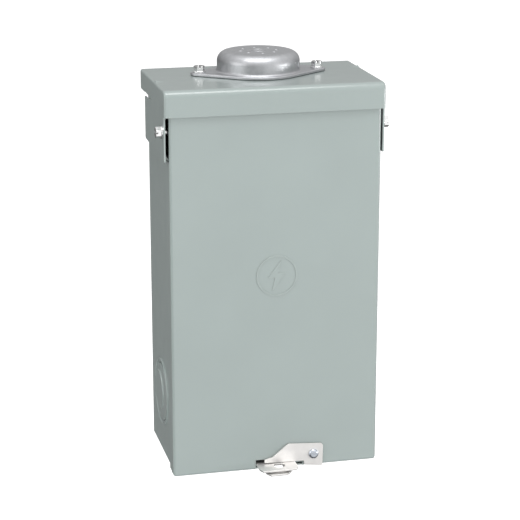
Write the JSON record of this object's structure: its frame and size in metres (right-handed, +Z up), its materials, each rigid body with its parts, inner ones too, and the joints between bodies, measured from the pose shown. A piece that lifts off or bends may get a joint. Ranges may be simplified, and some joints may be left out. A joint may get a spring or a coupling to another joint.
{
  "type": "residential load center",
  "caption": "Outdoor residential load center: rain-hooded steel box with a lift-up padlockable door, conduit hub plate, bus bars and plug-on circuit breakers.",
  "frame": {"origin": "centre of the back face, which lies on the wall, half way up the enclosure", "axes": "+X to the right seen from the front, +Y from the door into the wall, +Z up"},
  "size_m": [0.191, 0.1238, 0.3427],
  "materials": {
    "enclosure_paint": "satin grey-green baked enamel",
    "galvanized_steel": "bare galvanized sheet",
    "zinc_fastener": "bright zinc plate",
    "cast_zinc": "cast grey metal, tumbled",
    "gasket_rubber": "moulded gasket",
    "nylon": "natural nylon",
    "bare_aluminium": "extruded, bare",
    "tinned_bus": "tin plated",
    "insulator_plastic": "moulded thermoset",
    "breaker_plastic": "moulded thermoset",
    "handle_plastic": "moulded",
    "terminal_metal": "zinc plate",
    "jaw_copper": "spring copper alloy",
    "filler_plastic": "moulded",
    "card_stock": "coated card",
    "bonding_green": "green plated"
  },
  "bodies": {
    "enclosure": {"bonding_screw": "bonding_green", "bonding_strap": "bare_aluminium", "branch_breaker_a_case": "breaker_plastic", "branch_breaker_a_jaw_clips": "jaw_copper", "branch_breaker_a_terminals": "terminal_metal", "branch_breaker_b_case": "breaker_plastic", "branch_breaker_b_jaw_clips": "jaw_copper", "branch_breaker_b_terminals": "terminal_metal", "breaker_hook_rail": "galvanized_steel", "bus_insulator": "insulator_plastic", "deadfront_brackets": "enclosure_paint", "deadfront_cover": "enclosure_paint", "deadfront_fillers": "filler_plastic", "deadfront_screws": "zinc_fastener", "enclosure_bottom_wall": "enclosure_paint", "enclosure_top_wall": "enclosure_paint", "enclosure_wrapper": "enclosure_paint", "ground_bar": "bare_aluminium", "ground_bar_screws": "zinc_fastener", "hasp_lower_leaf": "galvanized_steel", "hasp_rivets": "zinc_fastener", "hasp_upper_leaf": "galvanized_steel", "hinge_bushings": "nylon", "hinge_nuts": "zinc_fastener", "hinge_screws": "zinc_fastener", "hub_closing_plate": "cast_zinc", "hub_gasket": "gasket_rubber", "hub_plate_screws": "zinc_fastener", "interior_pan": "galvanized_steel", "line_bus_a": "tinned_bus", "line_bus_b": "tinned_bus", "line_lug_a": "bare_aluminium", "line_lug_b": "bare_aluminium", "line_lug_screws": "zinc_fastener", "main_breaker_case": "breaker_plastic", "main_breaker_jaw_clips": "jaw_copper", "main_breaker_terminals": "terminal_metal", "neutral_bar": "bare_aluminium", "neutral_bar_feet": "insulator_plastic", "neutral_bar_screws": "zinc_fastener", "neutral_lug": "bare_aluminium", "neutral_lug_screw": "zinc_fastener", "pan_posts": "galvanized_steel", "pan_screws": "zinc_fastener", "top_hood": "enclosure_paint"},
    "door": {"door_panel": "enclosure_paint", "door_hinge_brackets": "enclosure_paint", "directory_card": "card_stock", "latch_rivet": "zinc_fastener", "latch_spring_washer": "galvanized_steel"},
    "latch": {"latch_plate": "galvanized_steel"},
    "main_handle": {"main_breaker_handle": "handle_plastic"},
    "branch_handle_a": {"branch_breaker_a_handle": "handle_plastic"},
    "branch_handle_b": {"branch_breaker_b_handle": "handle_plastic"}
  },
  "joints": [
    {"name": "door_hinge", "type": "hinge", "parent": "enclosure", "child": "door", "pos_m": [0, -0.096, 0.127], "axis": [-1, 0, 0], "range_deg": [0, 105]},
    {"name": "latch_pivot", "type": "hinge", "parent": "door", "child": "latch", "pos_m": [0.0327, -0.1055, -0.1515], "axis": [0, 1, 0], "range_deg": [0, 60]},
    {"name": "main_handle_throw", "type": "hinge", "parent": "enclosure", "child": "main_handle", "pos_m": [0, -0.08, 0.0381], "axis": [0, 0, -1], "range_deg": [0, 40]},
    {"name": "branch_handle_a_throw", "type": "hinge", "parent": "enclosure", "child": "branch_handle_a", "pos_m": [0, -0.08, 0.00953], "axis": [0, 0, -1], "range_deg": [0, 40]},
    {"name": "branch_handle_b_throw", "type": "hinge", "parent": "enclosure", "child": "branch_handle_b", "pos_m": [0, -0.08, -0.00953], "axis": [0, 0, -1], "range_deg": [0, 40]}
  ]
}
